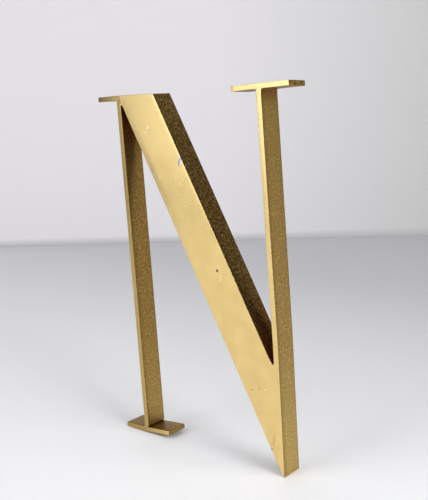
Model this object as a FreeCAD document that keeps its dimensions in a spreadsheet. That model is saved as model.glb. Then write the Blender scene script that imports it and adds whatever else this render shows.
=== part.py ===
import FreeCAD, Part
import math
import os
import Sketcher

# A free-standing display letter N, built up from flat bar: two thin stems, a wide diagonal
# between them, three thin serif plates, and small weld beads in the inner corners.
#
# Every piece is drawn in the letter's own upright frame, in millimetres. X runs right from
# the outer face of the left stem, Z runs up from the underside of the foot, and Y is the
# depth, from the front face at -Y to the back face at +Y.
#
# The letter's vertex drops below its foot, so it can't stand upright. Each body's Placement
# tips the upright letter to the left until the foot's outer edge and the vertex both touch
# the ground. The origin is on the ground, under the middle of the whole letter.

# Each row is an alias, what its cell holds, and what it means.
DRIVING_SIZES = (
    ("cap_height", "300", "underside of the foot to the top of the left serif"),
    ("letter_width", "155", "over both stems, measured at the right stem's knee"),
    ("bar_depth", "21", "front face to back face of every piece"),
    ("stem_thickness", "4.8", "left and right stems"),
    ("plate_thickness", "4.1", "the three serif plates"),
    ("left_serif_reach", "22.5", "top left plate, past the left stem"),
    ("right_serif_inner_reach", "23.5", "top right plate, left of the right stem"),
    ("right_serif_outer_reach", "25.4", "top right plate, right of the right stem"),
    ("foot_outer_reach", "23.2", "foot plate, left of the left stem"),
    ("foot_inner_reach", "24.8", "foot plate, right of the left stem"),
    ("foot_curl", "2.6", "degrees that the foot's inner half is pulled up"),
    ("diagonal_start", "2.15", "where the diagonal's left edge would reach the cap height"),
    ("diagonal_top_end", "43.2", "right-hand corner of the diagonal's top"),
    ("diagonal_top_fall", "1.3", "how much lower that corner is than the cap height"),
    ("right_top_fall", "1.4", "how much lower the right serif is than the cap height"),
    ("crotch_height", "79", "where the diagonal's right edge meets the right stem"),
    ("right_serif_tilt", "0.7", "degrees that the right serif rises from left to right"),
    ("knee_height", "100", "where the right stem bows furthest out"),
    ("knee_to_top_inset", "1.2", "how far in the right stem leans at its top"),
    ("vertex_inset", "1.3", "how far in the right stem leans at the vertex"),
    ("vertex_drop", "9.5", "vertex below the underside of the foot"),
    ("vertex_flat", "0.9", "width of the blunt end of the vertex"),
    ("seam_groove", "1.2", "open V where the left stem's inner face meets the foot"),
    ("tee_weld_radius", "0.8", "beads between the right stem, the foot and their plates"),
    ("top_left_weld_radius", "1.3", "bead under the top left plate"),
    ("upper_crotch_radius", "0.8", "bead between left stem and diagonal"),
    ("lower_crotch_radius", "1.2", "bead between diagonal and right stem"),
)

DERIVED_SIZES = (
    ("left_plate_underside", "=cap_height - plate_thickness", "top end of the left stem"),
    ("right_plate_top", "=cap_height - right_top_fall", "top of the right serif"),
    ("right_plate_underside", "=right_plate_top - plate_thickness", "top of the right stem"),
    ("right_stem_top_outer", "=letter_width - knee_to_top_inset", "right stem's outer face, top"),
    ("right_stem_top_inner", "=right_stem_top_outer - stem_thickness", "and its inner face"),
    ("right_serif_start", "=right_stem_top_inner - right_serif_inner_reach", "left end"),
    ("right_serif_end", "=right_stem_top_outer + right_serif_outer_reach", "right end"),
    ("right_serif_slope", "=tan(right_serif_tilt * 1deg)", "Z per X along the right serif"),
    ("half_stem_rise", "=right_serif_slope * stem_thickness / 2", "over half of the stem's top"),
    ("serif_fall", "=right_serif_slope * right_serif_inner_reach + half_stem_rise", "left end"),
    ("serif_rise", "=right_serif_slope * right_serif_outer_reach + half_stem_rise", "right end"),
    ("serif_end_underside", "=right_plate_underside + serif_rise", "lowest point of that end"),
    ("vertex_right", "=letter_width - vertex_inset", "right corner of the vertex"),
    ("vertex_left", "=vertex_right - vertex_flat", "left corner of the vertex"),
    ("left_edge_height", "=cap_height + vertex_drop", "height of the diagonal's left edge"),
    ("left_edge_run", "=(vertex_left - diagonal_start) / left_edge_height", "X per Z along it"),
    ("stem_run", "=vertex_inset / (knee_height + vertex_drop)", "X per Z below the knee"),
    ("upper_crotch_fall", "=(stem_thickness - diagonal_start) / left_edge_run", "below the top"),
    ("upper_crotch_height", "=cap_height - upper_crotch_fall", "corner above the upper bead"),
    ("mitre_rise", "=(stem_thickness - vertex_flat) / (left_edge_run + stem_run)", "vertex up"),
    ("mitre_height", "=mitre_rise - vertex_drop", "lower end of the right stem's inner face"),
    ("mitre_x", "=vertex_left - left_edge_run * mitre_rise", "and where it is across"),
    ("crotch_rise", "=crotch_height + vertex_drop", "lower crotch above the vertex"),
    ("crotch_x", "=vertex_right - stem_thickness + stem_run * crotch_rise", "lower crotch"),
    ("diagonal_top_height", "=cap_height - diagonal_top_fall", "right corner of the top"),
    ("right_edge_width", "=crotch_x - diagonal_top_end", "width of the diagonal's right edge"),
    ("right_edge_height", "=diagonal_top_height - crotch_height", "and its height"),
    ("foot_bend_shift", "=plate_thickness * tan(foot_curl * 0.5deg)", "underside bend, past top"),
    ("foot_end_x", "=stem_thickness + foot_inner_reach * cos(foot_curl * 1deg)", "top corner"),
    ("foot_end_rise", "=foot_inner_reach * sin(foot_curl * 1deg)", "rise of that corner"),
    ("foot_end_x_under", "=foot_end_x + plate_thickness * sin(foot_curl * 1deg)", "below it"),
    ("foot_end_under", "=plate_thickness * (1 - cos(foot_curl * 1deg)) + foot_end_rise", "too"),
    ("left_edge_slant", "=atan(left_edge_run)", "diagonal's left edge, from vertical"),
    ("right_edge_slant", "=atan(right_edge_width / right_edge_height)", "and its right edge"),
    ("stem_slant", "=atan(stem_run)", "right stem below the knee, from vertical"),
    ("stem_top_height", "=right_plate_underside - knee_height", "right stem above the knee"),
    ("stem_top_slant", "=atan(knee_to_top_inset / stem_top_height)", "and its lean"),
    ("lean", "=atan(vertex_drop / (vertex_left + foot_outer_reach))", "tip of the whole letter"),
    ("ground_rise", "=foot_outer_reach * sin(lean)", "lifts the foot's outer edge to zero"),
    ("far_left", "=-left_serif_reach * cos(lean) - cap_height * sin(lean)", "tipped letter"),
    ("far_right", "=right_serif_end * cos(lean) - serif_end_underside * sin(lean)", "tipped letter"),
    ("middle", "=(far_left + far_right) / 2", "half way along the tipped letter"),
)

STANDING_PLACEMENT = (
    "placement(vector(-Dims.middle; 0; Dims.ground_rise);"
    " rotation(vector(0; 1; 0); -Dims.lean))"
)


def make_sheet(doc):
    """Write every size to a spreadsheet, one row each."""
    sheet = doc.addObject("Spreadsheet::Sheet", "Dims")
    for row, (alias, content, meaning) in enumerate(DRIVING_SIZES + DERIVED_SIZES, start=1):
        sheet.set(f"A{row}", alias)
        sheet.set(f"B{row}", content)
        sheet.setAlias(f"B{row}", alias)
        sheet.set(f"C{row}", meaning)
    doc.recompute()
    return sheet


def make_body(doc, label):
    """Add a body that stands with the rest of the letter."""
    body = doc.addObject("PartDesign::Body", label)
    body.Label = label
    body.setExpression("Placement", STANDING_PLACEMENT)
    return body


def make_outline_sketch(body):
    """Add a sketch on the body's own XZ plane, the middle of its depth."""
    sketch = body.newObject("Sketcher::SketchObject", f"{body.Name}_outline")
    planes = [feature for feature in body.Origin.OriginFeatures if feature.Role == "XZ_Plane"]
    sketch.AttachmentSupport = [(planes[0], "")]
    sketch.MapMode = "FlatFace"
    return sketch


def bind(sketch, constraint, name, expression):
    """Add a constraint whose value follows the spreadsheet."""
    sketch.addConstraint(constraint)
    sketch.renameConstraint(sketch.ConstraintCount - 1, name)
    sketch.setExpression(f"Constraints.{name}", expression)


def tie_start(sketch, edge, name, x_expression, z_expression):
    """Hold the start of an edge at a place measured from the sketch's origin."""
    start = 1
    origin = -1
    for axis, kind, expression in (("x", "DistanceX", x_expression),
                                   ("z", "DistanceY", z_expression)):
        size = float(sketch.evalExpression(expression))
        constraint = Sketcher.Constraint(kind, origin, 1, edge, start, size)
        bind(sketch, constraint, f"{name}_{axis}", expression)


def pad_through_depth(body, sketch):
    """Give the outline the letter's depth, half of it to each side."""
    pad = body.newObject("PartDesign::Pad", f"{body.Name}_depth")
    pad.Profile = sketch
    pad.Midplane = True
    pad.setExpression("Length", "Dims.bar_depth")
    sketch.Visibility = False


def make_bar(doc, label, corners):
    """Make a straight-sided piece from its corners, listed in order around its outline."""
    body = make_body(doc, label)
    sketch = make_outline_sketch(body)
    places = [FreeCAD.Vector(float(sketch.evalExpression(x_expression)),
                             float(sketch.evalExpression(z_expression)), 0)
              for x_expression, z_expression in corners]
    count = len(corners)
    for index in range(count):
        following = places[(index + 1) % count]
        sketch.addGeometry(Part.LineSegment(places[index], following))
    for index in range(count):
        joined = (index + 1) % count
        sketch.addConstraint(Sketcher.Constraint("Coincident", index, 2, joined, 1))
    for index, (x_expression, z_expression) in enumerate(corners):
        tie_start(sketch, index, f"corner{index + 1}", x_expression, z_expression)
    pad_through_depth(body, sketch)
    return body


def make_weld(doc, label, corner, first_direction, second_direction, radius):
    """Make a bead with a hollow face in the corner between two faces.

    corner is where the two faces meet. The directions are the ways out along them, as
    angles from +X towards +Z, the second one further round than the first. The bead's face
    is an arc that runs smoothly into both faces.
    """
    body = make_body(doc, label)
    sketch = make_outline_sketch(body)
    corner_x, corner_z = (float(sketch.evalExpression(text)) for text in corner)
    first, second = (math.radians(sketch.evalExpression(text).Value)
                     for text in (first_direction, second_direction))
    size = float(sketch.evalExpression(radius))
    half_angle = (second - first) / 2
    leg = size / math.tan(half_angle)
    reach = size / math.sin(half_angle)
    quarter = math.pi / 2

    def out(direction, distance):
        return FreeCAD.Vector(corner_x + distance * math.cos(direction),
                              corner_z + distance * math.sin(direction), 0)

    circle = Part.Circle(out(first + half_angle, reach), FreeCAD.Vector(0, 0, 1), size)
    sketch.addGeometry(Part.LineSegment(out(first, 0), out(first, leg)))
    sketch.addGeometry(Part.ArcOfCircle(circle, second + quarter, first + 3 * quarter))
    sketch.addGeometry(Part.LineSegment(out(second, 0), out(second, leg)))
    sketch.addConstraint(Sketcher.Constraint("Coincident", 0, 1, 2, 1))
    sketch.addConstraint(Sketcher.Constraint("Tangent", 0, 2, 1, 2))
    sketch.addConstraint(Sketcher.Constraint("Tangent", 2, 2, 1, 1))
    tie_start(sketch, 0, "corner", *corner)
    bind(sketch, Sketcher.Constraint("Angle", 0, first), "first_face", first_direction)
    bind(sketch, Sketcher.Constraint("Angle", 2, second), "second_face", second_direction)
    bind(sketch, Sketcher.Constraint("Radius", 1, size), "bead_radius", radius)
    pad_through_depth(body, sketch)
    return body


def make_stems(doc):
    """The two thin uprights. The right one is bowed, and ends in the letter's vertex."""
    left_stem = make_bar(doc, "left_stem", (
        ("0", "Dims.plate_thickness"),
        ("Dims.stem_thickness - Dims.seam_groove", "Dims.plate_thickness"),
        ("Dims.stem_thickness", "Dims.plate_thickness + Dims.seam_groove"),
        ("Dims.stem_thickness", "Dims.left_plate_underside"),
        ("0", "Dims.left_plate_underside"),
    ))
    right_stem = make_bar(doc, "right_stem", (
        ("Dims.right_stem_top_inner", "Dims.right_plate_underside - Dims.half_stem_rise"),
        ("Dims.letter_width - Dims.stem_thickness", "Dims.knee_height"),
        ("Dims.mitre_x", "Dims.mitre_height"),
        ("Dims.vertex_left", "-Dims.vertex_drop"),
        ("Dims.vertex_right", "-Dims.vertex_drop"),
        ("Dims.letter_width", "Dims.knee_height"),
        ("Dims.right_stem_top_outer", "Dims.right_plate_underside + Dims.half_stem_rise"),
    ))
    return [left_stem, right_stem]


def make_diagonal(doc):
    """The wide bar, cut at both ends to lie against the stems' inner faces."""
    return [make_bar(doc, "diagonal_bar", (
        ("Dims.stem_thickness", "Dims.upper_crotch_height"),
        ("Dims.mitre_x", "Dims.mitre_height"),
        ("Dims.crotch_x", "Dims.crotch_height"),
        ("Dims.diagonal_top_end", "Dims.diagonal_top_height"),
        ("Dims.stem_thickness", "Dims.cap_height"),
    ))]


def make_serifs(doc):
    """The three thin plates. The foot's inner half curls up from the left stem."""
    top_left = make_bar(doc, "top_left_serif", (
        ("-Dims.left_serif_reach", "Dims.left_plate_underside"),
        ("Dims.stem_thickness", "Dims.left_plate_underside"),
        ("Dims.stem_thickness", "Dims.cap_height"),
        ("-Dims.left_serif_reach", "Dims.cap_height"),
    ))
    top_right = make_bar(doc, "top_right_serif", (
        ("Dims.right_serif_start", "Dims.right_plate_underside - Dims.serif_fall"),
        ("Dims.right_serif_end", "Dims.serif_end_underside"),
        ("Dims.right_serif_end", "Dims.serif_end_underside + Dims.plate_thickness"),
        ("Dims.right_serif_start", "Dims.right_plate_top - Dims.serif_fall"),
    ))
    foot = make_bar(doc, "foot_serif", (
        ("-Dims.foot_outer_reach", "0"),
        ("Dims.stem_thickness + Dims.foot_bend_shift", "0"),
        ("Dims.foot_end_x_under", "Dims.foot_end_under"),
        ("Dims.foot_end_x", "Dims.plate_thickness + Dims.foot_end_rise"),
        ("Dims.stem_thickness", "Dims.plate_thickness"),
        ("-Dims.foot_outer_reach", "Dims.plate_thickness"),
    ))
    return [top_left, top_right, foot]


def make_tee_welds(doc):
    """The small beads beside the stems, where they meet their plates.

    The foot has one only outside the left stem. Its inner side is an open seam.
    """
    top_left = make_weld(doc, "top_left_serif_weld", ("0", "Dims.left_plate_underside"),
                         "180deg", "270deg", "Dims.top_left_weld_radius")
    inner = make_weld(doc, "top_right_serif_inner_weld",
                      ("Dims.right_stem_top_inner",
                       "Dims.right_plate_underside - Dims.half_stem_rise"),
                      "180deg + Dims.right_serif_tilt * 1deg",
                      "270deg + Dims.stem_top_slant", "Dims.tee_weld_radius")
    outer = make_weld(doc, "top_right_serif_outer_weld",
                      ("Dims.right_stem_top_outer",
                       "Dims.right_plate_underside + Dims.half_stem_rise"),
                      "-90deg + Dims.stem_top_slant",
                      "Dims.right_serif_tilt * 1deg", "Dims.tee_weld_radius")
    foot = make_weld(doc, "foot_weld", ("0", "Dims.plate_thickness"),
                     "90deg", "180deg", "Dims.tee_weld_radius")
    return [top_left, inner, outer, foot]


def make_crotch_welds(doc):
    """The rounded fillers in the two acute corners beside the diagonal."""
    upper = make_weld(doc, "upper_crotch_weld",
                      ("Dims.stem_thickness", "Dims.upper_crotch_height"),
                      "-90deg", "-90deg + Dims.left_edge_slant", "Dims.upper_crotch_radius")
    lower = make_weld(doc, "lower_crotch_weld", ("Dims.crotch_x", "Dims.crotch_height"),
                      "90deg - Dims.stem_slant", "90deg + Dims.right_edge_slant",
                      "Dims.lower_crotch_radius")
    return [upper, lower]


def check_document(doc, bodies):
    """Stop if anything failed to compute or any piece isn't one sound solid."""
    failed = [item.Name for item in doc.Objects if {"Invalid", "Error"} & set(item.State)]
    if failed:
        raise RuntimeError(f"failed objects: {failed}")
    for body in bodies:
        shape = body.Shape
        if shape.isNull() or not shape.isValid() or len(shape.Solids) != 1:
            raise RuntimeError(f"unsound shape: {body.Label}")


def export_parts(bodies):
    """Write each piece to its own STEP file."""
    os.makedirs("parts", exist_ok=True)
    for body in bodies:
        body.Shape.exportStep(f"parts/{body.Label}.step")
        box = body.Shape.BoundBox
        print(f"{body.Label}: {body.Shape.Volume:.1f} mm3, "
              f"{box.XLength:.1f} x {box.YLength:.1f} x {box.ZLength:.1f} mm")


def main():
    doc = FreeCAD.newDocument("display_letter")
    make_sheet(doc)
    bodies = make_stems(doc) + make_diagonal(doc) + make_serifs(doc)
    bodies += make_tee_welds(doc) + make_crotch_welds(doc)
    doc.recompute()
    check_document(doc, bodies)
    export_parts(bodies)


main()
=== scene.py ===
import math

import bmesh
import bpy
from mathutils import Matrix, Vector, noise
from mathutils.geometry import delaunay_2d_cdt


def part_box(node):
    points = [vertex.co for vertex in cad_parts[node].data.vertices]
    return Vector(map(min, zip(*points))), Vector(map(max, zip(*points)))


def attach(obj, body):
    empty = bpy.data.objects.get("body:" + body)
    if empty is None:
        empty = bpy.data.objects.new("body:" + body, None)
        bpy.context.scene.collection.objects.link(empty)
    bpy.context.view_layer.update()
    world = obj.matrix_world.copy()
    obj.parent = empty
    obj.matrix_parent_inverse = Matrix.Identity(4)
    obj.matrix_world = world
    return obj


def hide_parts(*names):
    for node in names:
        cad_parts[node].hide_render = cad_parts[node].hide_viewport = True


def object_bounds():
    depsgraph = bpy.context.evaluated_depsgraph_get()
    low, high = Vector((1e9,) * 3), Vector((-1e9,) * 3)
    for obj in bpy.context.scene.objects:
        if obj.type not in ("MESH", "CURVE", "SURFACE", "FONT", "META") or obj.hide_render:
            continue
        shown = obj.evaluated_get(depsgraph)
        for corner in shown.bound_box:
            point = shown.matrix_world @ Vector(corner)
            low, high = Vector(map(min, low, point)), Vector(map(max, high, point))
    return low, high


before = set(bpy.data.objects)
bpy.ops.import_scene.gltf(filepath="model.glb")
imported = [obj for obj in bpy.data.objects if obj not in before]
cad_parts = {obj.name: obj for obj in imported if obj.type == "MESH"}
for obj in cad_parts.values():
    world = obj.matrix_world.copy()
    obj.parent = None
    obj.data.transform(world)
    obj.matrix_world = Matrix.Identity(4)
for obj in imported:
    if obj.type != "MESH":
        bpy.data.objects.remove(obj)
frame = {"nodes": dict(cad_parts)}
cad_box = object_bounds()

# The letter is a prism, so each piece is rebuilt from its own outline on the front face:
# its free edges are dressed round, its faces get the slight unevenness of hand finishing,
# and the seams between pieces stay exactly where they are. All lengths are in metres.

SNAP = 5e-6                     # two outline points closer than this are the same point
TINY_SQUARE = 1e-18             # keeps a division by an edge's squared length safe
EDGE_ROUND = 0.0004             # radius of the dressed edges along the front and back
EDGE_ROUND_AT_TIP = 0.0003      # the same at the sharp vertex, where the bar is thin
TIP_TAPER = 0.018               # distance from the vertex over which the radius grows
ROUND_LEAST = 0.8               # the least share of that radius, as it is a little uneven
ROUND_WAVES = 3                 # how many times finer that unevenness is than the faces'
CORNER_ROUND = 0.00045          # radius of the corners that run front to back
CORNER_TURN = math.radians(20)  # an outline corner that turns more than this is rounded
CORNER_STEPS = 4
ROUND_STEPS = 4                 # rings in each dressed edge
DEPTH_STEPS = 7                 # rings across the sides
SPACING = 0.0025                # longest step along an outline
FACE_GRID = 0.0022              # spacing of the points inside a face
GRID_MARGIN = FACE_GRID * 0.4   # how near to the outline such a point may be
GRID_SHIFTS = (0.7, 0.5)        # where the first point of an even and of an odd row lies
GRID_LAST = 0.97                # and how far across a row its last point may lie
HOLLOW_SPOKES = 12              # mesh points round a hollow
HOLLOW_RINGS = 5                # rings of them
HOLLOW_RINGS_INSIDE = 4         # rings up to the hollow's edge
HOLLOW_MARGIN = 0.0003          # how near to the outline such a point may be
CAP_PRECISION = 1e-9            # two points of a face closer than this are the same point
WELD_INSET = 0.6                # a weld's edge moves in by this share of its room at most
LEFT_FALL = (0.00030, 0.008)    # how far the front falls away at its left edges, over what width
RIGHT_FALL = (0.00012, 0.0020)  # the same at its other edges, which catch a thin line of light
FALL_POWER = 3                  # how steeply it falls towards the edge
LEFT_EDGE = 0.6                 # an edge is a left edge if its inward direction has this much +X
SERIF_LEAN = 0.0008             # how much lower the top right plate is at the back than the front
WAVE = 0.00010                  # how far the faces stray from flat
WAVE_SIZE = 0.045               # and over what distance
DEPTH_WAVE = 0.03               # how far along that unevenness the sides go from front to back
FRONT_SEED = 11.0               # these make each surface's unevenness a different one
BACK_SEED = 23.0
SIDE_SEED = 3.1
ROUND_SEED = 7.3

# Each node, and the name of the record's slot for its finish, which the script doesn't use.
PIECES = {
    "left_stem": "gold_satin",
    "right_stem": "gold_satin",
    "diagonal_bar": "gold_satin",
    "top_left_serif": "gold_satin",
    "top_right_serif": "gold_satin",
    "foot_serif": "gold_satin",
    "top_left_serif_weld": "weld_filler",
    "top_right_serif_inner_weld": "weld_filler",
    "top_right_serif_outer_weld": "weld_filler",
    "foot_weld": "weld_filler",
    "upper_crotch_weld": "weld_filler",
    "lower_crotch_weld": "weld_filler",
}

# Hollows in the diagonal's front: share of the height, share of the bar's width, radius, depth.
HOLLOWS = [
    (0.519, 0.645, 0.0014, 0.0005),
    (0.216, 0.25, 0.0012, 0.00015),
    (0.225, 0.66, 0.0014, 0.0002),
]

BARE_METAL = (0.60, 0.60, 0.63)        # where a chip has taken the gold off
CHIP_SHADE = (0.33, 0.30, 0.27)         # painted shade along the broken edge of the gold round a chip
# Painted shade in the diagonal's hollows, and small dark spots elsewhere on its front.
DARK_SPOT_AND_HOLLOW_SHADE = (0.16, 0.12, 0.07)
SMUDGE = (0.69, 0.51, 0.205)
# Pale flecks, and painted highlights beside the diagonal's hollows.
PALE_FLECK_AND_HIGHLIGHT = (0.93, 0.79, 0.45)
MARK_RAGGEDNESS = 0.8                  # how ragged their outlines are
MARK_NOISE = 1.3                       # size of that raggedness, in half widths of the mark
MARK_NOISE_ROUGHNESS = 0.6
MARK_DEPTH = 2.0                       # how deep a mark reaches into the piece, in half widths
MARK_SOFT = 0.2                        # share of a mark's radius over which it fades

# Marks on the diagonal's front: share of the height, share of the bar's width, half length,
# half width, turn in degrees, colour. A later one lies over an earlier one. Among them are painted
# shade in the hollows and round the chip, and painted highlights beside the hollows.
MARKS = [
    (0.797, 0.926, 0.0036, 0.0017, 30, CHIP_SHADE),
    (0.808, 0.970, 0.0030, 0.0014, 20, BARE_METAL),
    (0.796, 0.938, 0.0030, 0.0013, 30, BARE_METAL),
    (0.803, 0.950, 0.0022, 0.0007, 28, CHIP_SHADE),
    (0.068, 0.06, 0.0013, 0.0008, 25, DARK_SPOT_AND_HOLLOW_SHADE),
    (0.519, 0.645, 0.0015, 0.0013, 0, DARK_SPOT_AND_HOLLOW_SHADE),
    (0.962, 0.759, 0.0007, 0.0005, 0, DARK_SPOT_AND_HOLLOW_SHADE),
    (0.216, 0.250, 0.0006, 0.0006, 0, DARK_SPOT_AND_HOLLOW_SHADE),
    (0.224, 0.500, 0.0005, 0.0005, 0, DARK_SPOT_AND_HOLLOW_SHADE),
    (0.500, 0.640, 0.0040, 0.0006, 15, PALE_FLECK_AND_HIGHLIGHT),
    (0.095, 0.680, 0.0060, 0.0014, 10, SMUDGE),
    (0.890, 0.491, 0.0009, 0.0012, 0, PALE_FLECK_AND_HIGHLIGHT),
    (0.884, 0.430, 0.0014, 0.0010, 40, PALE_FLECK_AND_HIGHLIGHT),
    (0.873, 0.330, 0.0016, 0.0010, 50, PALE_FLECK_AND_HIGHLIGHT),
    (0.765, 0.082, 0.0009, 0.0007, 0, PALE_FLECK_AND_HIGHLIGHT),
    (0.750, 0.180, 0.0010, 0.0006, 30, PALE_FLECK_AND_HIGHLIGHT),
    (0.655, 0.372, 0.0009, 0.0007, 0, PALE_FLECK_AND_HIGHLIGHT),
    (0.225, 0.700, 0.0007, 0.0016, 15, PALE_FLECK_AND_HIGHLIGHT),
]

# The smooth satin gold of the fronts, the backs and the dressed edges.
NOISE_RANGE = (0.3, 0.7)               # nearly all of a noise's values lie in this range
FACE_DARK = (0.775, 0.57, 0.225)
FACE_BRIGHT = (0.875, 0.65, 0.272)
FACE_TOP_LIGHT = (0.90, 0.69, 0.34)         # painted light: the paler gold towards the letter's top
FACE_TOP_LIGHT_SHARE = 0.6                  # how much of it there is at the very top
CLOUD_SIZE = 0.014                     # size of the cloudiness between dark and bright
CLOUD_DETAIL = 3.0
FACE_ROUGHNESS = 0.26
POLISH_CHANGE = 0.01                   # how far the roughness strays from that
POLISH_SIZE = 0.03                     # and over what distance
POLISH_SEED = 3.0
FACE_BUMP_SIZE = 0.0060
FACE_BUMP_HEIGHT = 0.00005
FACE_BUMP_STRENGTH = 0.06
# Gold that is partly duller in finish and partly darker with painted shade, where a face reflects
# less light.
DULL_SHADED_GOLD = (0.35, 0.235, 0.064)
FOOT_DULL_SHADED_GOLD = (0.42, 0.27, 0.07)       # painted shade, partly a duller finish: the foot plate's dimmer, warmer gold
SERIF_DULL_SHADED_GOLD = (0.22, 0.15, 0.045)     # painted shade, partly a duller finish: the top left plate's darkest gold

# Stretches of gold that is partly duller in finish and partly darker with painted shade, where a
# face reflects less light: the finish's name, the axis along which it changes, two places along it
# and the darker colour. A place is a share of the piece's length, metres past it, and how much of
# that colour there is.
DULL_SHADED_FACES = {
    "left_stem": ("gold_left_stem_dull_shaded", "Z", (0.0, 0.0, 0.63), (1.0, 0.0, 0.60), DULL_SHADED_GOLD),
    "top_left_serif": ("gold_top_left_serif_dull_shaded", "X",
                       (0.0, 0.0, 1.0), (1.0, 0.0, 0.35), SERIF_DULL_SHADED_GOLD),
    "top_right_serif": ("gold_top_right_serif_dull_shaded", "X",
                        (0.0, 0.0, 0.25), (1.0, -0.02, 0.0), DULL_SHADED_GOLD),
    "foot_serif": ("gold_foot_dull_shaded", "X", (0.5, -0.004, 0.85), (1.0, -0.006, 0.25), FOOT_DULL_SHADED_GOLD),
}

# The coarser gold of the sides, darker than the faces partly for its grain and partly as painted
# shade.
SIDE_DARK = (0.13, 0.055, 0.008)
SIDE_MIDDLE = (0.25, 0.148, 0.036)
# Painted glints: the bright gold of the grains that catch the light.
SIDE_GLINT = (0.95, 0.65, 0.25)
GRAIN_SIZE = 0.0011
GRAIN_DETAIL = 1.5
GRAIN_ROUGHNESS = 0.7
GRAIN_STOPS = (0.50, 0.52, 0.54)       # where the dark and middle golds and the painted glints lie in the noise
GRAIN_SPREAD = 0.17                    # how far the dark gold and the painted glints move out, at a strength of 1
GRAIN_BUMP_HEIGHT = 0.00010
GRAIN_BUMP_STRENGTH = 0.5
SIDE_ROUGHNESS = (0.55, 0.38)          # in the dark grains and in the bright ones
SIDE_SHADE = (0.10, 0.05, 0.01)        # the darker bands along the front and back edges
FRONT_BAND = (0.0004, 0.0045)          # depths behind the front where that band begins and ends
FRONT_BAND_SHADE = 0.45
BACK_BAND = (0.0014, 0.0004)           # depths before the back where that one begins and ends
BACK_BAND_SHADE = 0.6
SIDE_LOW_LIGHT = (0.74, 0.56, 0.19)       # painted light: the sides are brighter low on the letter
LOW_LIGHT_HEIGHT = 0.12                   # how far up the letter that reaches
CORNER_SHADE_BROWN = (0.17, 0.022, 0.001)    # painted shade: the red-brown of the narrow inner corners, reddened by light reflected between the gold faces
CORNER_SHADE_REACH = 0.055                  # how far that painted shade reaches from the corners' tips
FACING_SOFT = 0.2                      # how far a side must face right to show all of it

# Each side finish: its name, how strong its grain is, and how much painted light brightens it
# at the top of the low stretch that it reaches and at the letter's bottom.
PLAIN_SIDE = ("gold_side", 1.0, (0.0, 0.0))
SIDES = {
    "left_stem": ("gold_side_left", 0.45, (0.03, 0.22)),
    "right_stem": ("gold_side_right", 0.6, (0.17, 0.42)),
    "foot_serif": ("gold_side_foot", 0.25, (0.06, 0.06)),
    "diagonal_bar": ("gold_side_diagonal", 1.3, (0.0, 0.0)),
}

# Painted shade in the corners of a piece's sides and under the top right plate: the node and
# the end of it where the shade is deepest, how far up or down it reaches, and its strength.
LOWER_END, UPPER_END = 0, 1            # the two corners of a node's box
CORNER_SHADES = {
    "left_stem": (("upper_crotch_weld", LOWER_END, -CORNER_SHADE_REACH, 0.9),
                  ("left_stem", LOWER_END, 0.010, 0.4)),
    "right_stem": (("right_stem", UPPER_END, -0.014, 0.5),),
    "diagonal_bar": (("lower_crotch_weld", UPPER_END, CORNER_SHADE_REACH, 0.9),),
}

VIEW_AZIMUTH = 40.2                    # degrees round from the front towards the right
VIEW_ELEVATION = 11.0
VIEW_ROLL = -1.73
VIEW_DISTANCE = 0.6865
VIEW_AIM_X = 0.0171
VIEW_AIM_HEIGHT = 0.1748
LENS_MM = 60.4
SENSOR_MM = 36.0
CLIP_START = 0.01
WALL_DISTANCE = 1.672                  # level distance from the camera to the back wall
STAGE_HALF_WIDTH = 1.38                # the table and the wall end short of the low lights
TABLE_HALF_DEPTH = 0.97
WALL_HALF_HEIGHT = 1.5
# Painted light: the table is paler near the viewer and darker towards the wall.
TABLE_LIT = (0.965, 0.97, 1.0)
TABLE_SHADED = (0.725, 0.73, 0.755)
TABLE_SPAN = (-1.0, 1.0)               # the stretch of Y over which the table's colour is given
TABLE_LIT_AT = 0.53                   # shares of that stretch
TABLE_SHADED_AT = 0.80
TABLE_ROUGHNESS = 0.6
WALL_ROUGHNESS = 0.9
STAGE_SPECULAR = 0.2
WALL_PALE = (0.883, 0.862, 0.892)
# Painted shade at the foot of the wall, where it meets the table.
WALL_FOOT_SHADE = (0.61, 0.61, 0.62)
WALL_SOFT = 0.018                      # height over which the painted shade at the foot of the wall fades
WALL_SHADE = (0.70, 0.70, 0.70)        # the wall's colour at its right
WALL_SHADE_REACH = (0.02, 0.45)        # where that begins and is full, right of its middle
WORLD_LIGHT = 0.032                    # how much light the surroundings give
WORLD_SEEN = 0.62                      # and how bright they look past the table and the wall
WHITE = (1.0, 1.0, 1.0)
LIGHT_DISTANCE = 1.5
LIGHT_AIM_HEIGHT = 0.15

# Soft square lights: name, (azimuth, elevation), size in metres, power in watts.
LIGHTS = [
    ("front_left_low", (-35, 6), 0.5, 1.45),
    ("front_low", (-12, 7), 0.54, 1.6),
    ("left_low", (-60, 7), 0.6, 0.8),
    ("front_left", (-36, 26), 0.6, 0.7),
    ("front", (-13, 26), 0.6, 3.9),
    ("front_left_high", (-45, 47), 0.72, 2.1),
    ("front_high", (-13, 47), 0.72, 2.8),
    ("front_right_high", (30, 50), 0.72, 2.7),
    ("right", (82, 32), 0.6, 11.0),
    ("right_back_low", (108, 7), 0.54, 7.2),
    ("overhead", (0, 82), 1.0, 2.7),
]


# ---------------------------------------------------------------- outlines

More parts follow.
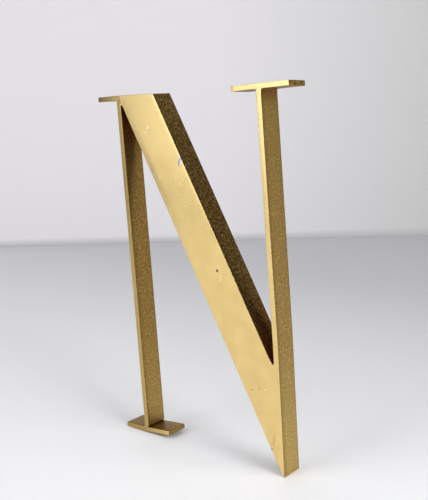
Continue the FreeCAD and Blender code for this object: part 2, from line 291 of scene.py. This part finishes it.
class Outlines:
    """The front outlines of all the pieces, sharing one list of points."""

    def __init__(self, nodes):
        self.points = []
        self.loops = {name: self.read(nodes[name]) for name in PIECES}
        self.split_at_touching_points()
        self.find_free_edges()

    def index_of(self, x, z):
        """The number of the point at this place, which is a new one if there is none yet."""
        for index, point in enumerate(self.points):
            if abs(point.x - x) < SNAP and abs(point.y - z) < SNAP:
                return index
        self.points.append(Vector((x, z)))
        return len(self.points) - 1

    def read(self, node):
        """The outline of the node's front face, as point numbers, anticlockwise."""
        mesh = node.data
        front = min(vertex.co.y for vertex in mesh.vertices)
        # A step inside the face is walked once each way, so only the outline's steps stay.
        steps = set()
        for face in mesh.polygons:
            corners = [mesh.vertices[number].co for number in face.vertices]
            if any(abs(corner.y - front) > SNAP for corner in corners):
                continue
            loop = [self.index_of(corner.x, corner.z) for corner in corners]
            for step in zip(loop, loop[1:] + loop[:1]):
                if step[::-1] in steps:
                    steps.remove(step[::-1])
                else:
                    steps.add(step)
        following = dict(steps)
        start = min(following)
        loop = [start]
        while following[loop[-1]] != start:
            loop.append(following[loop[-1]])
        return loop

    def split_at_touching_points(self):
        """Add a point wherever another piece's corner lies on this piece's edge."""
        for name, loop in self.loops.items():
            fuller = []
            for start, end in zip(loop, loop[1:] + loop[:1]):
                a, b = self.points[start], self.points[end]
                along = (b - a).normalized()
                length = (b - a).length
                between = []
                for index, point in enumerate(self.points):
                    reach = (point - a).dot(along)
                    off_line = abs((point - a).cross(along))
                    if off_line < SNAP and SNAP < reach < length - SNAP:
                        between.append((reach, index))
                fuller += [start] + [index for _, index in sorted(between)]
            self.loops[name] = fuller

    def find_free_edges(self):
        """Mark the edges that no other piece lies against, and the thin tips of the welds."""
        every = {step for loop in self.loops.values() for step in zip(loop, loop[1:] + loop[:1])}
        self.free = {step for step in every if step[::-1] not in every}
        self.weld_tips = set()
        for name, loop in self.loops.items():
            if name.endswith("_weld"):
                for before, tip, after in zip(loop[-1:] + loop[:-1], loop, loop[1:] + loop[:1]):
                    if ((before, tip) in self.free) != ((tip, after) in self.free):
                        self.weld_tips.add(tip)

    def seams(self, name):
        """The ends of each edge that this piece shares with another."""
        loop = self.loops[name]
        steps = zip(loop, loop[1:] + loop[:1])
        return [(self.points[a], self.points[b]) for a, b in steps if (a, b) not in self.free]


def distance_to_edge(place, a, b):
    """The distance from a place to the straight edge from a to b."""
    along = b - a
    share = (place - a).dot(along) / max(along.length_squared, TINY_SQUARE)
    share = max(0.0, min(1.0, share))
    return (a + along * share - place).length


def inward(a, b):
    """The direction into the material from the edge that runs from a to b."""
    along = (b - a).normalized()
    return Vector((-along.y, along.x))


def mitre(first, second):
    """How a corner moves when both of its edges move in by one."""
    return (first + second) / (1 + first.dot(second))


class Rim:
    """One point of a dressed outline: its place, and how it moves as the edge turns in."""

    def __init__(self, place, pull):
        self.place = place
        self.pull = pull
        self.front_depth = 0.0


def corner_arc(before, corner, after):
    """Rim points for a rounded corner between two free edges of one piece."""
    first, second = inward(before, corner), inward(corner, after)
    turn = first.angle(second)
    reach = CORNER_ROUND * math.tan(turn / 2)
    start = corner + (before - corner).normalized() * reach
    centre = start + first * CORNER_ROUND
    rims = []
    for step in range(CORNER_STEPS + 1):
        angle = turn * step / CORNER_STEPS
        spoke = Vector((first.x * math.cos(angle) - first.y * math.sin(angle),
                        first.x * math.sin(angle) + first.y * math.cos(angle)))
        rims.append(Rim(centre - spoke * CORNER_ROUND, spoke))
    return rims


def dressed_outline(outlines, name):
    """The piece's outline with rounded corners and closely spaced points."""
    points, loop, free = outlines.points, outlines.loops[name], outlines.free
    arriving = {step[1]: inward(points[step[0]], points[step[1]]) for step in free}
    leaving = {step[0]: inward(points[step[0]], points[step[1]]) for step in free}
    corners = []
    count = len(loop)
    for place, index in enumerate(loop):
        before, after = loop[place - 1], loop[(place + 1) % count]
        a, b, c = points[before], points[index], points[after]
        both_free = (before, index) in free and (index, after) in free
        turning = (b - a).normalized().cross((c - b).normalized())
        if index in outlines.weld_tips:
            corners.append([Rim(b, Vector((0, 0)))])
        elif both_free and turning > math.sin(CORNER_TURN):
            corners.append(corner_arc(a, b, c))
        elif index in arriving and index in leaving:
            corners.append([Rim(b, mitre(arriving[index], leaving[index]))])
        else:
            corners.append([Rim(b, Vector((0, 0)))])
    rims = []
    for place, corner in enumerate(corners):
        rims += corner
        after = (place + 1) % count
        start, end = corner[-1], corners[after][0]
        is_free = (loop[place], loop[after]) in free
        rims += rims_between(start, end, is_free)
    if name.endswith("_weld"):
        seams = outlines.seams(name)
        for rim in rims:
            room = min(distance_to_edge(rim.place, a, b) for a, b in seams)
            rim.pull *= min(1.0, WELD_INSET * room / EDGE_ROUND)
    return rims


def rims_between(start, end, is_free):
    """Evenly spaced rim points strictly between two others."""
    length = (end.place - start.place).length
    steps = max(1, math.ceil(length / SPACING))
    pull = inward(start.place, end.place) if is_free else Vector((0, 0))
    return [Rim(start.place.lerp(end.place, step / steps), pull) for step in range(1, steps)]


# ---------------------------------------------------------------- surface shape

def wave(x, z, seed):
    """A smooth unevenness from 0 to 1."""
    return 0.5 + 0.5 * noise.noise(Vector((x / WAVE_SIZE, z / WAVE_SIZE, seed)))


def round_radius(place, tip):
    """Radius of the dressed edge: a little uneven, and smaller near the vertex."""
    share = min(1.0, (place - tip).length / TIP_TAPER)
    share = share * share * (3 - 2 * share)
    radius = EDGE_ROUND_AT_TIP + (EDGE_ROUND - EDGE_ROUND_AT_TIP) * share
    unevenness = wave(place.x * ROUND_WAVES, place.y * ROUND_WAVES, ROUND_SEED)
    return radius * (ROUND_LEAST + (1 - ROUND_LEAST) * unevenness)


class Shape:
    """The letter's overall measures, read from the frame."""

    def __init__(self, outlines, bounds):
        self.low, self.high = Vector(bounds[0]), Vector(bounds[1])
        self.height = self.high.z - self.low.z
        self.outlines = outlines
        lowest = min(outlines.loops["right_stem"], key=lambda index: outlines.points[index].y)
        self.tip = outlines.points[lowest]
        self.falls = []
        for a, b in outlines.free:
            start, end = outlines.points[a], outlines.points[b]
            fall = LEFT_FALL if inward(start, end).x > LEFT_EDGE else RIGHT_FALL
            self.falls.append((start, end, *fall))
        self.hollows = [(self.on_diagonal(up, across), radius, depth)
                        for up, across, radius, depth in HOLLOWS]

    def on_diagonal(self, up, across):
        """A place on the diagonal's face, by its share of the letter's height and of the bar."""
        z = self.low.z + up * self.height
        points, loop = self.outlines.points, self.outlines.loops["diagonal_bar"]
        left, right = level_crossings([points[index] for index in loop], z)
        return Vector((left + (right - left) * across, z))

    def front_depth(self, place):
        """How far behind its flat plane the front face lies at this place."""
        depth = WAVE * wave(place.x, place.y, FRONT_SEED)
        depth += max(fall * max(0.0, 1 - distance_to_edge(place, a, b) / reach) ** FALL_POWER
                     for a, b, fall, reach in self.falls)
        for centre, radius, deepest in self.hollows:
            share = (place - centre).length / radius
            if share < 1:
                depth += deepest * (1 - share * share) ** 2
        return depth

    def back_depth(self, place):
        """The same for the back face."""
        return WAVE * wave(place.x, place.y, BACK_SEED)

    def hollow_points(self):
        """Closely spaced places round each hollow, so that the mesh can follow it."""
        places = []
        for centre, radius, _ in self.hollows:
            places.append(centre)
            for number in range(1, HOLLOW_RINGS + 1):
                for spoke in range(HOLLOW_SPOKES):
                    angle = 2 * math.pi * (spoke + 0.5 * (number % 2)) / HOLLOW_SPOKES
                    reach = radius * number / HOLLOW_RINGS_INSIDE
                    places.append(centre + Vector((math.cos(angle), math.sin(angle))) * reach)
        return places


def level_crossings(loop, z):
    """Where a level line at height z crosses a loop, from left to right."""
    crossings = []
    for a, b in zip(loop, loop[1:] + loop[:1]):
        if (a.y > z) != (b.y > z):
            crossings.append(a.x + (b.x - a.x) * (z - a.y) / (b.y - a.y))
    return sorted(crossings)


def far_enough(place, loop, margin):
    """Whether a place is at least the margin away from every edge of a loop."""
    return all(distance_to_edge(place, a, b) >= margin for a, b in zip(loop, loop[1:] + loop[:1]))


def grid_inside(loop):
    """Evenly spread places inside a loop."""
    low, high = min(place.y for place in loop), max(place.y for place in loop)
    inside = []
    for row in range(int((high - low) / FACE_GRID)):
        z = low + (row + 0.5) * FACE_GRID
        crossings = level_crossings(loop, z)
        for left, right in zip(crossings[::2], crossings[1::2]):
            count = max(1, round((right - left) / FACE_GRID))
            for number in range(count):
                share = (number + GRID_SHIFTS[row % 2]) / count
                place = Vector((left + (right - left) * min(share, GRID_LAST), z))
                if far_enough(place, loop, GRID_MARGIN):
                    inside.append(place)
    return inside


def cap(mesh, ring, level, shape, at_front):
    """Close one end of the piece with an uneven face."""
    rim_places = [Vector((vertex.co.x, vertex.co.z)) for vertex in ring]
    count = len(rim_places)
    inside = grid_inside(rim_places)
    if at_front:
        inside += [place for place in shape.hollow_points()
                   if is_inside(place, rim_places) and far_enough(place, rim_places, HOLLOW_MARGIN)]
    edges = [(index, (index + 1) % count) for index in range(count)]
    only_inside = 1
    places, _, triangles, _, _, _ = delaunay_2d_cdt(
        rim_places + inside, edges, [], only_inside, CAP_PRECISION)
    vertices = list(ring)
    for place in places[count:]:
        depth = shape.front_depth(place) if at_front else -shape.back_depth(place)
        vertices.append(mesh.verts.new((place.x, level + depth, place.y)))
    for triangle in triangles:
        corners = [vertices[index] for index in triangle]
        mesh.faces.new(corners if at_front else corners[::-1])


def is_inside(place, loop):
    """Whether a place lies inside a loop."""
    return sum(crossing < place.x for crossing in level_crossings(loop, place.y)) % 2 == 1


def ring_levels():
    """Each ring of the piece from front to back: (share of the depth, radii in, inset in radii)."""
    levels = []
    for step in range(ROUND_STEPS + 1):
        angle = math.pi / 2 * (1 - step / ROUND_STEPS)
        levels.append((0.0, 1 - math.sin(angle), 1 - math.cos(angle)))
    middle = [(step / DEPTH_STEPS, 1 - 2 * step / DEPTH_STEPS, 0.0)
              for step in range(1, DEPTH_STEPS)]
    back = [(1.0, -radii, inset) for _, radii, inset in reversed(levels)]
    return levels + middle + back


def add_ring(mesh, rims, shape, level):
    """One ring of vertices round the piece."""
    share, radii, inset = level
    front, back = shape.low.y, shape.high.y
    ring = []
    for rim in rims:
        radius = round_radius(rim.place, shape.tip)
        sway = WAVE * wave(rim.place.x, rim.place.y + share * DEPTH_WAVE, SIDE_SEED)
        place = rim.place + rim.pull * (inset * radius + sway)
        y = front + (back - front) * share + radii * radius
        if share == 0:
            y += rim.front_depth * (1 - radii)
        ring.append(mesh.verts.new((place.x, y, place.y)))
    return ring


def build_piece(shape, name):
    """The dressed, slightly uneven mesh of one piece."""
    rims = dressed_outline(shape.outlines, name)
    for rim in rims:
        edge_place = rim.place + rim.pull * round_radius(rim.place, shape.tip)
        rim.front_depth = shape.front_depth(edge_place)
    mesh = bmesh.new()
    rings = [add_ring(mesh, rims, shape, level) for level in ring_levels()]
    # The side finish begins on the last strip of each dressed edge.
    for number, (near, far) in enumerate(zip(rings, rings[1:])):
        on_side = ROUND_STEPS - 1 <= number <= len(rings) - 1 - ROUND_STEPS
        for index in range(len(rims)):
            before = index - 1
            face = mesh.faces.new((near[index], near[before], far[before], far[index]))
            face.material_index = 1 if on_side else 0
    cap(mesh, rings[0], shape.low.y, shape, at_front=True)
    cap(mesh, rings[-1], shape.high.y, shape, at_front=False)
    if name.startswith("top_right_serif"):
        lean_back(mesh, shape)
    for face in mesh.faces:
        face.smooth = True
    data = bpy.data.meshes.new(name + "_dressed")
    mesh.to_mesh(data)
    mesh.free()
    piece = bpy.data.objects.new(name + "_dressed", data)
    bpy.context.scene.collection.objects.link(piece)
    piece.modifiers.new("flat_faces", "WEIGHTED_NORMAL").keep_sharp = True
    return piece


def lean_back(mesh, shape):
    """The plate is a little lower at the back than at the front."""
    for vertex in mesh.verts:
        vertex.co.z -= SERIF_LEAN * (vertex.co.y - shape.low.y) / (shape.high.y - shape.low.y)


# ---------------------------------------------------------------- materials

class Finish:
    """A material under construction, which is metal unless it is told otherwise."""

    def __init__(self, name, metallic=1.0):
        self.material = bpy.data.materials.new(name)
        self.material.use_nodes = True
        self.nodes = self.material.node_tree.nodes
        self.links = self.material.node_tree.links
        self.shader = self.nodes["Principled BSDF"]
        self.shader.inputs["Metallic"].default_value = metallic
        coordinates = self.nodes.new("ShaderNodeTexCoord")
        self.place = coordinates.outputs["Object"]
        self.normal = coordinates.outputs["Normal"]

    def noise(self, size, detail=2.0, roughness=0.5, seed=0.0):
        """Noise whose features are about size metres across."""
        node = self.nodes.new("ShaderNodeTexNoise")
        node.noise_dimensions = "4D"
        node.inputs["W"].default_value = seed
        node.inputs["Scale"].default_value = 1.0 / size
        node.inputs["Detail"].default_value = detail
        node.inputs["Roughness"].default_value = roughness
        self.links.new(self.place, node.inputs["Vector"])
        return node.outputs["Fac"]

    def along(self, axis):
        """The object coordinate along x, y or z."""
        node = self.nodes.new("ShaderNodeSeparateXYZ")
        self.links.new(self.place, node.inputs["Vector"])
        return node.outputs[axis]

    def facing_right(self):
        """1 on the sides that face right, and 0 on those that face left."""
        node = self.nodes.new("ShaderNodeSeparateXYZ")
        self.links.new(self.normal, node.inputs["Vector"])
        return self.mapped(node.outputs["X"], 0.0, FACING_SOFT)

    def mapped(self, value, low, high, to_low=0.0, to_high=1.0, kind="LINEAR"):
        """The value's range from low to high, moved to another range and kept in it."""
        node = self.nodes.new("ShaderNodeMapRange")
        node.interpolation_type = kind
        for socket, number in (("From Min", low), ("From Max", high),
                               ("To Min", to_low), ("To Max", to_high)):
            node.inputs[socket].default_value = number
        self.links.new(value, node.inputs["Value"])
        return node.outputs["Result"]

    def math(self, operation, first, second):
        """An arithmetic step. second is a socket or a number."""
        node = self.nodes.new("ShaderNodeMath")
        node.operation = operation
        self.links.new(first, node.inputs[0])
        if isinstance(second, (int, float)):
            node.inputs[1].default_value = second
        else:
            self.links.new(second, node.inputs[1])
        return node.outputs["Value"]

    def ramp(self, factor, stops):
        """A colour ramp. stops are (position, colour)."""
        node = self.nodes.new("ShaderNodeValToRGB")
        elements = node.color_ramp.elements
        while len(elements) < len(stops):
            elements.new(0.5)
        for element, (position, colour) in zip(elements, stops):
            element.position = position
            element.color = (*colour, 1.0)
        self.links.new(factor, node.inputs["Fac"])
        return node.outputs["Color"]

    def mix(self, factor, socket, colour):
        """Blend a colour into the one from a socket."""
        node = self.nodes.new("ShaderNodeMix")
        node.data_type = "RGBA"
        node.inputs["B"].default_value = (*colour, 1.0)
        self.links.new(factor, node.inputs["Factor"])
        self.links.new(socket, node.inputs["A"])
        return node.outputs["Result"]

    def set(self, socket, value):
        """Feed one of the shader's sockets."""
        self.links.new(value, self.shader.inputs[socket])

    def bump(self, height, distance, strength):
        """Feed the shader's normal from a height."""
        node = self.nodes.new("ShaderNodeBump")
        node.inputs["Distance"].default_value = distance
        node.inputs["Strength"].default_value = strength
        self.links.new(height, node.inputs["Height"])
        self.links.new(node.outputs["Normal"], self.shader.inputs["Normal"])

    def spot(self, centre, half_length, half_width, angle):
        """A mask that is 1 inside a ragged oval on the front face and 0 outside it."""
        mapping = self.nodes.new("ShaderNodeMapping")
        mapping.vector_type = "TEXTURE"
        mapping.inputs["Location"].default_value = centre
        mapping.inputs["Rotation"].default_value = (0.0, angle, 0.0)
        mapping.inputs["Scale"].default_value = (half_width, half_width * MARK_DEPTH, half_length)
        self.links.new(self.place, mapping.inputs["Vector"])
        length = self.nodes.new("ShaderNodeVectorMath")
        length.operation = "LENGTH"
        self.links.new(mapping.outputs["Vector"], length.inputs[0])
        grain = self.noise(half_width * MARK_NOISE, roughness=MARK_NOISE_ROUGHNESS)
        ragged = self.math("MULTIPLY", grain, MARK_RAGGEDNESS)
        reach = self.math("ADD", length.outputs["Value"], ragged)
        edge = 1.0 + MARK_RAGGEDNESS / 2
        return self.mapped(reach, edge, edge - MARK_SOFT)


def face_colours(finish):
    """The slightly cloudy satin gold of the dressed faces, with painted light that makes it paler
    at the top.
    """
    clouds = finish.noise(CLOUD_SIZE, CLOUD_DETAIL)
    dark_at, bright_at = NOISE_RANGE
    gold = finish.ramp(clouds, ((dark_at, FACE_DARK), (bright_at, FACE_BRIGHT)))
    low, high = cad_box[0][2], cad_box[1][2]
    top_light = finish.mapped(finish.along("Z"), (low + high) / 2, high, 0.0, FACE_TOP_LIGHT_SHARE)
    return finish.mix(top_light, gold, FACE_TOP_LIGHT)


def face_gold(name, dull_shade=None, marks=(), dull_shade_colour=DULL_SHADED_GOLD):
    """Smooth satin gold, with an optional stretch that is partly duller in finish and partly darker
    with painted shade, given as (axis, (place, share of it) at two ends).
    """
    finish = Finish(name)
    colour = face_colours(finish)
    if dull_shade:
        axis, (start, start_dull_shade), (end, end_dull_shade) = dull_shade
        dull_shade_share = finish.mapped(finish.along(axis), start, end, start_dull_shade, end_dull_shade)
        colour = finish.mix(dull_shade_share, colour, dull_shade_colour)
    for centre, half_length, half_width, angle, mark_colour in marks:
        mask = finish.spot(centre, half_length, half_width, angle)
        colour = finish.mix(mask, colour, mark_colour)
    polish = finish.noise(POLISH_SIZE, detail=1.0, seed=POLISH_SEED)
    finish.set("Base Color", colour)
    finish.set("Roughness", finish.mapped(polish, *NOISE_RANGE, FACE_ROUGHNESS + POLISH_CHANGE,
                                          FACE_ROUGHNESS - POLISH_CHANGE))
    finish.bump(finish.noise(FACE_BUMP_SIZE), FACE_BUMP_HEIGHT, FACE_BUMP_STRENGTH)
    return finish.material


def side_gold(shape, name, grain_strength, low_light, corner_shades=()):
    """Gold with a speckled grain, darker than the faces partly for its grain and partly as painted
    shade, with painted glints, painted light low on the letter, and painted shade in the inner
    corners and along the front and back. The arguments are as the tables of side finishes and
    corner shades give them.
    """
    finish = Finish(name)
    grain = finish.noise(GRAIN_SIZE, GRAIN_DETAIL, GRAIN_ROUGHNESS)
    spread = GRAIN_SPREAD / grain_strength
    dark_at, middle_at, bright_at = GRAIN_STOPS
    colour = finish.ramp(grain, ((dark_at - spread, SIDE_DARK), (middle_at, SIDE_MIDDLE),
                                 (bright_at + spread, SIDE_GLINT)))
    # Painted light, brighter low on the letter.
    if any(low_light):
        share = finish.mapped(finish.along("Z"), shape.low.z + LOW_LIGHT_HEIGHT, shape.low.z,
                              *low_light, kind="SMOOTHSTEP")
        colour = finish.mix(share, colour, SIDE_LOW_LIGHT)
    # Painted shade in the inner corners and under the top right plate.
    for node, end, reach, strength in corner_shades:
        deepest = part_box(node)[end][2]
        share = finish.mapped(finish.along("Z"), deepest + reach, deepest, 0.0, strength,
                              kind="SMOOTHSTEP")
        share = finish.math("MULTIPLY", share, finish.facing_right())
        colour = finish.mix(share, colour, CORNER_SHADE_BROWN)
    colour = finish.mix(edge_shade(finish, shape), colour, SIDE_SHADE)
    finish.set("Base Color", colour)
    finish.set("Roughness", finish.mapped(grain, *NOISE_RANGE, *SIDE_ROUGHNESS))
    finish.bump(grain, GRAIN_BUMP_HEIGHT, GRAIN_BUMP_STRENGTH * grain_strength)
    return finish.material


def edge_shade(finish, shape):
    """How much darker a side is near the letter's front and back."""
    depth = finish.along("Y")
    front_start, front_end = [shape.low.y + inset for inset in FRONT_BAND]
    back_start, back_end = [shape.high.y - inset for inset in BACK_BAND]
    front_band = finish.mapped(depth, front_start, front_end, FRONT_BAND_SHADE, 0.0)
    back_band = finish.mapped(depth, back_start, back_end, 0.0, BACK_BAND_SHADE)
    return finish.math("ADD", front_band, back_band)


# ---------------------------------------------------------------- stage, lights, camera

def add_plane(name, centre, right, up, half_width, half_height, material):
    """A flat backdrop, which isn't part of the object."""
    mesh = bpy.data.meshes.new(name)
    corners = [centre + right * (across * half_width) + up * (along * half_height)
               for across, along in ((-1, -1), (1, -1), (1, 1), (-1, 1))]
    mesh.from_pydata(corners, [], [(0, 1, 2, 3)])
    mesh.materials.append(material)
    plane = bpy.data.objects.new(name, mesh)
    bpy.context.scene.collection.objects.link(plane)


def direction(azimuth, elevation):
    """The unit vector towards a bearing round from the front, and a height above level."""
    azimuth, elevation = math.radians(azimuth), math.radians(elevation)
    return Vector((math.sin(azimuth) * math.cos(elevation),
                   -math.cos(azimuth) * math.cos(elevation), math.sin(elevation)))


def add_area_light(name, bearing, size, watts, target):
    """A square soft light, aimed at the target. bearing is (azimuth, elevation)."""
    towards = direction(*bearing)
    data = bpy.data.lights.new(name, "AREA")
    data.shape = "SQUARE"
    data.size = size
    data.energy = watts
    data.color = WHITE
    light = bpy.data.objects.new(name, data)
    light.location = target + towards * LIGHT_DISTANCE
    light.rotation_euler = towards.to_track_quat("Z", "Y").to_euler()
    light.visible_camera = False
    bpy.context.scene.collection.objects.link(light)


def add_camera():
    """Adds the camera. Gives its place and the level directions to its right and ahead."""
    back = direction(VIEW_AZIMUTH, VIEW_ELEVATION)
    right = direction(VIEW_AZIMUTH + 90, 0)
    up = back.cross(right)
    roll = math.radians(VIEW_ROLL)
    across = right * math.cos(roll) + up * math.sin(roll)
    upward = up * math.cos(roll) - right * math.sin(roll)
    data = bpy.data.cameras.new("camera")
    data.lens = LENS_MM
    data.sensor_width = SENSOR_MM
    data.sensor_fit = "AUTO"
    data.clip_start = CLIP_START
    camera = bpy.data.objects.new("camera", data)
    place = Vector((VIEW_AIM_X, 0.0, VIEW_AIM_HEIGHT)) + back * VIEW_DISTANCE
    camera.matrix_world = Matrix((
        (across.x, upward.x, back.x, place.x),
        (across.y, upward.y, back.y, place.y),
        (across.z, upward.z, back.z, place.z),
        (0.0, 0.0, 0.0, 1.0)))
    bpy.context.scene.collection.objects.link(camera)
    bpy.context.scene.camera = camera
    return place, right, direction(VIEW_AZIMUTH + 180, 0)


def add_stage(camera_place, right, forward):
    """A pale table with painted light that makes it paler towards the viewer, and a pale wall
    behind it, square to the view, with painted shade at its foot and towards its right.
    """
    table = Finish("table_white", metallic=0.0)
    # Painted light across the table.
    table.set("Base Color", table.ramp(
        table.mapped(table.along("Y"), *TABLE_SPAN),
        ((TABLE_LIT_AT, TABLE_LIT), (TABLE_SHADED_AT, TABLE_SHADED))))
    table.shader.inputs["Roughness"].default_value = TABLE_ROUGHNESS
    table.shader.inputs["Specular IOR Level"].default_value = STAGE_SPECULAR
    wall = Finish("wall_white", metallic=0.0)
    wall_foot = Vector((camera_place.x, camera_place.y, 0.0)) + forward * WALL_DISTANCE
    shade_start, shade_end = [wall_foot.x + right.x * reach for reach in WALL_SHADE_REACH]
    across = wall.mapped(wall.along("X"), shade_start, shade_end)
    upper = wall.ramp(across, ((0.0, WALL_PALE), (1.0, WALL_SHADE)))
    # Painted shade at the foot of the wall.
    foot = wall.mapped(wall.along("Z"), 0.0, WALL_SOFT, 1.0, 0.0, kind="SMOOTHSTEP")
    wall.set("Base Color", wall.mix(foot, upper, WALL_FOOT_SHADE))
    wall.shader.inputs["Roughness"].default_value = WALL_ROUGHNESS
    wall.shader.inputs["Specular IOR Level"].default_value = STAGE_SPECULAR
    up = Vector((0, 0, 1))
    add_plane("table", wall_foot - forward * TABLE_HALF_DEPTH, right, forward,
              STAGE_HALF_WIDTH, TABLE_HALF_DEPTH, table.material)
    add_plane("wall", wall_foot + up * WALL_HALF_HEIGHT, right, up,
              STAGE_HALF_WIDTH, WALL_HALF_HEIGHT, wall.material)


def add_lights():
    """The soft lights, and faint even surroundings, which look brighter than they light."""
    world = bpy.data.worlds.new("studio")
    world.use_nodes = True
    nodes, links = world.node_tree.nodes, world.node_tree.links
    seen_directly = nodes.new("ShaderNodeLightPath").outputs["Is Camera Ray"]
    strength = nodes.new("ShaderNodeMapRange")
    strength.inputs["To Min"].default_value = WORLD_LIGHT
    strength.inputs["To Max"].default_value = WORLD_SEEN
    links.new(seen_directly, strength.inputs["Value"])
    links.new(strength.outputs["Result"], nodes["Background"].inputs["Strength"])
    nodes["Background"].inputs["Color"].default_value = (*WHITE, 1.0)
    bpy.context.scene.world = world
    target = Vector((0, 0, LIGHT_AIM_HEIGHT))
    for name, bearing, size, watts in LIGHTS:
        add_area_light(name, bearing, size, watts, target)


# ---------------------------------------------------------------- the whole

def face_material(name, shape):
    """The finish of a piece's front, back and dressed edges."""
    if name in DULL_SHADED_FACES:
        finish_name, axis, *ends, colour = DULL_SHADED_FACES[name]
        number = "XYZ".index(axis)
        low, high = [corner[number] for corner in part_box(name)]
        dull_shade = [(low + (high - low) * share + past, dull_shade_share) for share, past, dull_shade_share in ends]
        return face_gold(finish_name, (axis, *dull_shade), dull_shade_colour=colour)
    if name == "diagonal_bar":
        return face_gold("gold_diagonal", marks=diagonal_marks(shape))
    return face_gold("gold_weld" if name.endswith("_weld") else "gold_face")


def diagonal_marks(shape):
    """Chips, spots and flecks on the diagonal's front face, with painted shade in its hollows and
    round the chip, and painted highlights beside the hollows.
    """
    marks = []
    for up, across, half_length, half_width, degrees, colour in MARKS:
        place = shape.on_diagonal(up, across)
        centre = (place.x, shape.low.y, place.y)
        marks.append((centre, half_length, half_width, math.radians(degrees), colour))
    return marks


def main():
    """Builds the letter's pieces, then the camera, the stage and the lights."""
    shape = Shape(Outlines(frame["nodes"]), cad_box)
    plain_side = side_gold(shape, *PLAIN_SIDE)
    sides = {name: side_gold(shape, *side, CORNER_SHADES.get(name, ()))
             for name, side in SIDES.items()}
    for name, slot in PIECES.items():
        piece = build_piece(shape, name)
        piece.data.materials.append(face_material(name, shape))
        piece.data.materials.append(sides.get(name, plain_side))
        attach(piece, "root")
        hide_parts(name)
    camera_place, right, forward = add_camera()
    add_stage(camera_place, right, forward)
    add_lights()
    bpy.context.scene.view_settings.view_transform = "Standard"


main()
